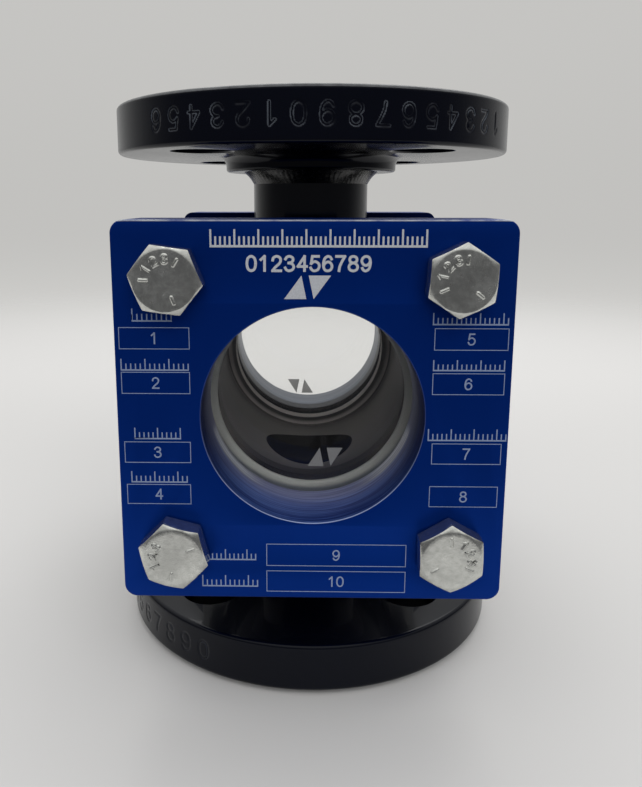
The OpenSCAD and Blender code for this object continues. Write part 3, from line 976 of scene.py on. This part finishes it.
class SIGHTGLASS_OT_glazing(PieceOperator):
    """Finishes the glass discs and gaskets, and etches a plain flow mark on each glass"""
    bl_idname = "sight_glass.glazing"
    bl_label = "Glasses and Gaskets"

    def ring(self, name, side, bore, sag, material):
        """A gasket that fills its node's place; its bore narrows by sag, and keeps its lowest point."""
        node, gap = name + "_gasket", 0.04 * MM
        low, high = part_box(node)
        near, far = sorted((abs(low.y), abs(high.y)))
        profile = rounded([(bore, near + gap, 0.6 * MM), (high.x, near + gap, 0.1 * MM),
                           (high.x, far - gap, 0.1 * MM), (bore, far - gap, 0.6 * MM)], 4)
        points, faces = turned_mesh(profile, 160)
        radius = np.linalg.norm(points[:, :2], axis=1)
        share = np.clip((high.x - radius) / (high.x - bore), 0, 1)
        points[:, :2] *= (1 - sag * share / radius)[:, None]
        points[:, 1] += side * sag * share
        make_piece(name + "_ring", at_cover(points, side), faces, material, (node,))

    def execute(self, context):
        sizes, colours = self.sizes(), self.colours()
        self.paint(glass_material(colours), "front_glass", "rear_glass")
        white = gasket_material(colours, sizes)
        for name, side in SIDES.items():
            self.ring(f"{name}_inner", side, sizes.gasket_bore_r, sizes.gasket_sag, white)
            self.ring(f"{name}_outer", side, sizes.cover_gasket_r, 0, white)
        for name, side, x, z, cover in (("front", -1, 3.7, -16.7, 0.85), ("rear", 1, 2.8, -16.7, 0.8)):
            frost = marking_material(name + "_frosted_mark", colours.frost, 0.5, cover)
            up = [(x - 4.5, z - 2.5), (x - 0.4, z - 2.5), (x - 1.4, z + 2.5)]
            down = [(x + 4.5, z + 2.5), (x + 0.4, z + 2.5), (x + 1.4, z - 2.5)]
            shapes = [[(px * MM, pz * MM) for px, pz in shape] for shape in (up, down)]
            flat_mark(name + "_glass_mark", shapes, frost, GLASS_OUT + 0.02 * MM, side)
        return {"FINISHED"}


class SIGHTGLASS_OT_covers(PieceOperator):
    """Makes the two square cover plates with a turned window and softly broken edges"""
    bl_idname = "sight_glass.covers"
    bl_label = "Cover Plates"

    def outline(self, curve, points):
        spline = curve.splines.new("POLY")
        spline.points.add(len(points) - 1)
        for point, (x, y) in zip(spline.points, points):
            point.co = (x, y, 0, 1)
        spline.use_cyclic_u = True

    def execute(self, context):
        sizes = self.sizes()
        material = anodised_material(self.colours(), sizes)
        edge, half, thick = sizes.cover_break, COVER_HALF, COVER_OUT - COVER_IN
        for name, side in SIDES.items():
            curve = bpy.data.curves.new(name + "_cover_shape", "CURVE")
            curve.dimensions, curve.fill_mode = "2D", "BOTH"
            curve.extrude, curve.bevel_depth, curve.bevel_resolution = thick / 2 - edge, edge, 2
            curve.offset = -edge
            corners = ((-half, -half), (half, -half), (half, half), (-half, half))
            self.outline(curve, rounded([(x, y, sizes.cover_corner_r) for x, y in corners], 12))
            holes = [(0, 0, sizes.window_r, 192)]
            holes += [(a * BOLT_AT, b * BOLT_AT, sizes.bolt_hole_r, 48) for a, b in CORNERS.values()]
            for x, y, radius, steps in holes:
                turn = np.linspace(0, 2 * math.pi, steps, endpoint=False)
                self.outline(curve, [(x + radius * math.cos(t), y + radius * math.sin(t)) for t in turn])
            maker = bpy.data.objects.new(name + "_cover_maker", curve)
            bpy.context.scene.collection.objects.link(maker)
            depsgraph = bpy.context.evaluated_depsgraph_get()
            mesh = bpy.data.meshes.new_from_object(maker.evaluated_get(depsgraph))
            bpy.data.objects.remove(maker)
            points = np.array([vertex.co for vertex in mesh.vertices])
            points[:, 2] += 0.5 * (COVER_IN + COVER_OUT)
            faces = [list(polygon.vertices) for polygon in mesh.polygons]
            make_piece(name + "_cover_plate", at_cover(points, side), faces,
                       material, (name + "_cover",), 40)
        return {"FINISHED"}


class SIGHTGLASS_OT_markings(PieceOperator):
    """Marks the front cover with plain numbered boxes, graduated scales and a pair of flow triangles"""
    bl_idname = "sight_glass.markings"
    bl_label = "Cover Markings"

    def execute(self, context):
        sizes, colours = self.sizes(), self.colours()
        thin = marking_material("laser_line", colours.marking, 0.42)
        bright = marking_material("bright_mark", colours.header, 0.36)
        y = COVER_OUT + 0.015 * MM
        # Boxes and scales as (left, bottom, right, top) in millimetres from the cover's middle
        fields = [(-43.4, 15.8, -27.5, 20.8), (-43.2, 5.5, -27.6, 10.6), (-43.1, -10.9, -27.8, -5.8),
                  (-42.9, -21.0, -28.0, -16.1), (26.9, 15.8, 43.3, 20.8), (26.8, 5.6, 42.9, 10.6),
                  (27.2, -10.8, 43.0, -5.8), (27.0, -21.2, 42.7, -16.1), (-10.6, -36.3, 22.2, -30.7),
                  (-10.6, -42.9, 22.2, -37.5)]
        lines = [part for box in fields for part in frame_bars(*box, sizes.line_w)]
        flat_mark("field_boxes", lines, thin, y)
        scales = [(-40.3, 22.4, -31.3, 25.0), (-43.2, 11.2, -27.8, 13.6), (-40.7, -4.9, -30.0, -2.5),
                  (-41.8, -15.4, -28.7, -13.0), (26.4, 21.8, 43.1, 24.2), (26.8, 11.4, 42.8, 13.6),
                  (26.2, -4.9, 44.0, -2.4), (-25.5, -34.6, -13.0, -32.2), (-25.9, -41.4, -12.6, -38.8)]
        bars = [part for zone in scales for part in scale_bars(*zone, 1.05, 0.28)]
        flat_mark("field_scales", bars, thin, y)
        for index, (x0, z0, x1, z1) in enumerate(fields):
            digits = digits_mesh(str(index + 1), 2.4 * MM, 2.0 * MM, 0.34 * MM)
            x, z = (x0 + x1) / 2 * MM, (z0 + z1) / 2 * MM
            place_digits(f"field_number_{index + 1}", digits, x, z, -y, thin)
        flat_mark("top_scale", scale_bars(-22.6, 39.0, 24.7, 42.4, 1.05, 0.42), bright, y)
        digits = digits_mesh("0123456789", 3.15 * MM, 2.78 * MM, 0.58 * MM)
        place_digits("top_numbers", digits, -1.05 * MM, 35.0 * MM, -y, bright)
        up = [(-6.4, 27.2), (-1.5, 27.2), (-2.6, 32.4)]
        down = [(3.9, 32.4), (-1.0, 32.4), (0.1, 27.2)]
        flat_mark("flow_triangles", [[(a * MM, b * MM) for a, b in shape] for shape in (up, down)], bright, y)
        return {"FINISHED"}


class SIGHTGLASS_OT_fasteners(PieceOperator):
    """Makes the four through bolts with marked heads and real threads, and their nuts"""
    bl_idname = "sight_glass.fasteners"
    bl_label = "Bolts and Nuts"

    # Of each head, in degrees: its turn, the places of its bars, and the place of its first digit
    heads = {"top_left": (52, (178, 58, -68), 148), "top_right": (86, (205, 82, -40), 168),
             "bottom_left": (105, (25, 145, 265), 205), "bottom_right": (91, (93, 213, 333), 55)}
    nuts = {"top_left": 12, "top_right": 40, "bottom_left": 27, "bottom_right": 3}

    def head(self, sizes, turn):
        angles = np.linspace(0, 2 * math.pi, sizes.columns, endpoint=False)
        top = HEAD_TOP - COVER_OUT - sizes.mark_h
        washer, washer_r = 0.4 * MM, 0.47 * sizes.hex_w

        def ring(radius, height):
            return np.full_like(angles, radius), np.full_like(angles, height)

        rings = [ring(share * HEX_FACE * sizes.hex_w, top - sink * MM)
                 for share, sink in ((0.002, 0.05), (0.3, 0.045), (0.6, 0.03), (0.85, 0.01))]
        rings += hex_rings(angles, sizes, washer, top, False)
        rings += [ring(washer_r, washer), ring(washer_r, 0.05 * MM),
                  ring(washer_r - 0.05 * MM, 0), ring(sizes.bolt_r, 0)]
        points = rings_to_points(rings, angles)
        turned = points.copy()
        c, s = math.cos(turn), math.sin(turn)
        turned[:, 0] = c * points[:, 0] - s * points[:, 1]
        turned[:, 1] = s * points[:, 0] + c * points[:, 1]
        return turned, grid_faces(len(rings), len(angles), False, True)

    def shank(self, sizes, reach):
        columns, pitch = 48, sizes.thread_pitch
        angles = np.linspace(0, 2 * math.pi, columns, endpoint=False)
        start = reach - sizes.thread_length
        heights = np.concatenate([[0, start - 1.5 * MM], np.arange(start, reach, pitch / 12), [reach]])
        rings = []
        for height in heights:
            phase = (height / pitch - angles / (2 * math.pi)) % 1
            tooth = np.clip(2.6 * np.abs(phase - 0.5) - 0.22, 0, 1)
            fade = np.clip((height - start) / pitch, 0, 1)
            radius = sizes.bolt_r - 0.03 * MM - fade * sizes.thread_depth * (1 - tooth)
            tip = sizes.bolt_r - 1.0 * MM + np.maximum(reach - height, 0)
            rings.append((np.minimum(radius, tip), np.full_like(angles, -height)))
        rings.append((np.full_like(angles, 0.01 * MM), np.full_like(angles, -reach)))
        return rings_to_points(rings, angles), grid_faces(len(rings), columns, False, True)

    def raised_bar(self, angle, sizes):
        """A radial bar with wide sloping flanks on the top of a head."""
        along = np.array((math.cos(angle), math.sin(angle)))
        side = np.array((-math.sin(angle), math.cos(angle)))
        near, far = 3.8 * MM, 5.3 * MM
        foot = HEAD_TOP - sizes.mark_h - 0.08 * MM
        rings = []
        for half, height in ((0.48, foot), (0.18, HEAD_TOP - 0.04 * MM), (0.08, HEAD_TOP), (0.01, HEAD_TOP)):
            half *= MM
            ends = ((near - half, -half), (far + half, -half), (far + half, half), (near - half, half))
            outline = rounded([(x, y, 0.9 * half) for x, y in ends], 3)
            flat = np.array([x * along + y * side for x, y in outline])
            rings.append(np.column_stack([flat, np.full(len(flat), height)]))
        return np.concatenate(rings), grid_faces(len(rings), len(rings[0]), False, True)

    def marks(self, name, sizes, x, z, angles, digits_at, material):
        points, faces = join_parts([self.raised_bar(angle, sizes) for angle in np.radians(angles)])
        make_piece(name + "_marks", at_cover(points, -1, x, z), faces, material, (), 40)
        ring_r = 4.6 * MM
        for k, digit in enumerate("123"):
            angle = math.radians(digits_at - 30 * k)
            at_x, at_z = x + ring_r * math.cos(angle), z + ring_r * math.sin(angle)
            digits = digits_mesh(digit, 1.8 * MM, 0, 0.17 * MM, sizes.mark_h)
            place_digits(f"{name}_digit_{digit}", digits, at_x, at_z, -(HEAD_TOP - sizes.mark_h),
                         material, angle - math.pi / 2)

    def nut(self, sizes, turn):
        angles = np.linspace(0, 2 * math.pi, sizes.columns, endpoint=False)
        rings = hex_rings(angles, sizes, 0, NUT_H, True)
        bore, mouth, bevel = sizes.bolt_r - 0.5 * sizes.thread_depth, sizes.bolt_r + 0.5 * MM, 1.0 * MM
        for radius, height in ((mouth, 0), (bore, bevel), (bore, NUT_H - bevel), (mouth, NUT_H)):
            rings.append((np.full_like(angles, radius), np.full_like(angles, height)))
        return rings_to_points(rings, angles + turn), grid_faces(len(rings), len(angles), True, True)

    def execute(self, context):
        sizes, colours = self.sizes(), self.colours()
        bolt_zinc = zinc_material(colours, "zinc_bolt", 0.68, HEAD_TOP - 1.1 * MM)
        nut_zinc = zinc_material(colours, "zinc_nut", 0.75, COVER_OUT + NUT_H - 0.8 * MM)
        for name, (a, b) in CORNERS.items():
            bolt, nut = "bolt_" + name, "nut_" + name
            turn, marks, digits_at = self.heads[name]
            x, z = a * BOLT_AT, b * BOLT_AT
            parts = [self.head(sizes, math.radians(turn)), self.shank(sizes, COVER_OUT + BOLT_TIP)]
            points, faces = join_parts(parts)
            points[:, 2] += COVER_OUT
            make_piece(bolt + "_threaded", at_cover(points, -1, x, z), faces,
                       bolt_zinc, (bolt,), 30)
            self.marks(bolt, sizes, x, z, marks, digits_at, bolt_zinc)
            points, faces = self.nut(sizes, math.radians(self.nuts[name]))
            points[:, 2] += COVER_OUT
            make_piece(nut + "_chamfered", at_cover(points, 1, x, z), faces,
                       nut_zinc, (nut,), 30)
        return {"FINISHED"}


class SIGHTGLASS_OT_stage(PieceOperator):
    """Lays the pale floor and sets the world, the soft lamps and the camera"""
    bl_idname = "sight_glass.stage"
    bl_label = "Stage, Lamps and Camera"

    def lamp(self, name, place, target, size, power, colour, glossy=True):
        light = bpy.data.lights.new(name, "AREA")
        light.shape, light.size, light.energy, light.color = "SQUARE", size, power, colour
        lamp = bpy.data.objects.new(name, light)
        lamp.location = place
        lamp.rotation_euler = (Vector(target) - Vector(place)).to_track_quat("-Z", "Y").to_euler()
        lamp.visible_glossy = glossy
        bpy.context.scene.collection.objects.link(lamp)

    def floor_material(self, colours):
        material, s = new_material("pale_floor")
        point, (x, y, z) = s.place()
        far = s.step((x * x + y * y).root(), 0.42, 0.95).at_least(s.step(y, -0.15, -0.21))
        cloud = s.noise(point, 5, 2)
        near = s.mix(cloud, shade(colours.floor, 0.98), colours.floor)
        # painted light: the floor is painted slightly lighter behind the object
        s.finish(Base_Color=s.mix(s.step(y, 0.12, 0.32), near, shade(colours.floor, 1.06)),
                 Roughness=1.0, Specular_IOR_Level=0.0, Alpha=1 - far)
        return material

    def world(self, colours):
        world = bpy.data.worlds.new("soft_room")
        world.use_nodes = True
        bpy.context.scene.world = world
        s = Shader(world.node_tree)
        seen = s.node("ShaderNodeLightPath", output="Is Camera Ray")
        through = s.node("ShaderNodeLightPath", output="Is Transmission Ray")
        way = s.node("ShaderNodeTexCoord", output=0)
        x, y, z = (s.node("ShaderNodeSeparateXYZ", {}, {0: way}, output=i) for i in range(3))
        top = s.step(z, 0.15, 0.85)
        back = s.step(y, -0.25, 0.95)
        level = s.mix(back, (0.122, 0.122, 0.128), (0.56, 0.56, 0.55))
        around = s.mix(top, level, (0.95, 0.95, 0.94))
        far_floor = s.mix(s.step(z, -0.32, -0.03), (0.81, 0.805, 0.775), (0.54, 0.535, 0.52))
        shown = s.mix(s.step(z, 0.0, 0.25), far_floor, colours.backdrop)
        plain = s.node("ShaderNodeBackground", {}, {"Color": around, "Strength": 1.0})
        pale = s.node("ShaderNodeBackground", {}, {"Color": shown, "Strength": 1.0})
        behind = s.step(y, 0.1, 0.5)
        share = (seen + through * behind).at_most(1.0)
        blend = s.node("ShaderNodeMixShader", {}, {0: share, 1: plain, 2: pale})
        s.tree.links.new(blend.socket, s.tree.nodes.new("ShaderNodeOutputWorld").inputs["Surface"])

    def execute(self, context):
        scene, colours = bpy.context.scene, self.colours()
        self.world(colours)
        radius, steps = 1.0, 96
        points = ring_line(radius, -0.02 * MM, steps).tolist()
        mesh = bpy.data.meshes.new("floor")
        mesh.from_pydata(points, [], [list(range(steps))])
        mesh.materials.append(self.floor_material(colours))
        floor = bpy.data.objects.new("floor", mesh)
        scene.collection.objects.link(floor)
        self.lamp("overhead_panel", (0.05, 0.42, 0.85), (0, 0.16, 0.05), 0.78, 4.0, (1.0, 0.995, 0.98))
        self.lamp("front_fill", (0.15, -0.9, 0.7), (0, 0, 0.07), 0.9, 7.6, (1.0, 1.0, 1.0), glossy=False)
        camera_data = bpy.data.cameras.new("camera")
        camera_data.lens, camera_data.sensor_width, camera_data.sensor_fit = 33.085, 36, "AUTO"
        camera_data.shift_x, camera_data.shift_y = 0.0437, -0.0717
        camera_data.clip_start = 0.005
        camera = bpy.data.objects.new("camera", camera_data)
        camera.location = (-0.002587, -0.218222, 0.12356)
        camera.rotation_euler = (math.radians(79.361), 0, math.radians(1.179))
        scene.collection.objects.link(camera)
        scene.camera = camera
        scene.view_settings.view_transform = "Standard"
        return {"FINISHED"}


class SIGHTGLASS_PT_panel(bpy.types.Panel):
    """Lists the steps that finish the sight glass"""
    bl_idname = "SIGHTGLASS_PT_panel"
    bl_label = "Sight Glass"
    bl_space_type = "VIEW_3D"
    bl_region_type = "UI"
    bl_category = "Sight Glass"

    def draw(self, context):
        for step in STEPS:
            self.layout.operator(step.bl_idname)
        for group in (context.scene.sight_glass_sizes, context.scene.sight_glass_colours):
            box = self.layout.box()
            for key in type(group).__annotations__:
                box.prop(group, key)


STEPS = (SIGHTGLASS_OT_stage, SIGHTGLASS_OT_flanges, SIGHTGLASS_OT_pipework, SIGHTGLASS_OT_welds,
         SIGHTGLASS_OT_glazing, SIGHTGLASS_OT_covers, SIGHTGLASS_OT_markings, SIGHTGLASS_OT_fasteners)
CLASSES = (SightGlassSizes, SightGlassColours, *STEPS, SIGHTGLASS_PT_panel)


def register():
    """Registers the classes and hangs the two groups of settings on the scene."""
    for cls in CLASSES:
        bpy.utils.register_class(cls)
    bpy.types.Scene.sight_glass_sizes = PointerProperty(type=SightGlassSizes)
    bpy.types.Scene.sight_glass_colours = PointerProperty(type=SightGlassColours)


def unregister():
    """Undoes register."""
    del bpy.types.Scene.sight_glass_colours
    del bpy.types.Scene.sight_glass_sizes
    for cls in reversed(CLASSES):
        bpy.utils.unregister_class(cls)


def main():
    """Builds every step in order."""
    register()
    for step in STEPS:
        group, name = step.bl_idname.split(".")
        getattr(getattr(bpy.ops, group), name)()


if __name__ == "__main__":
    main()
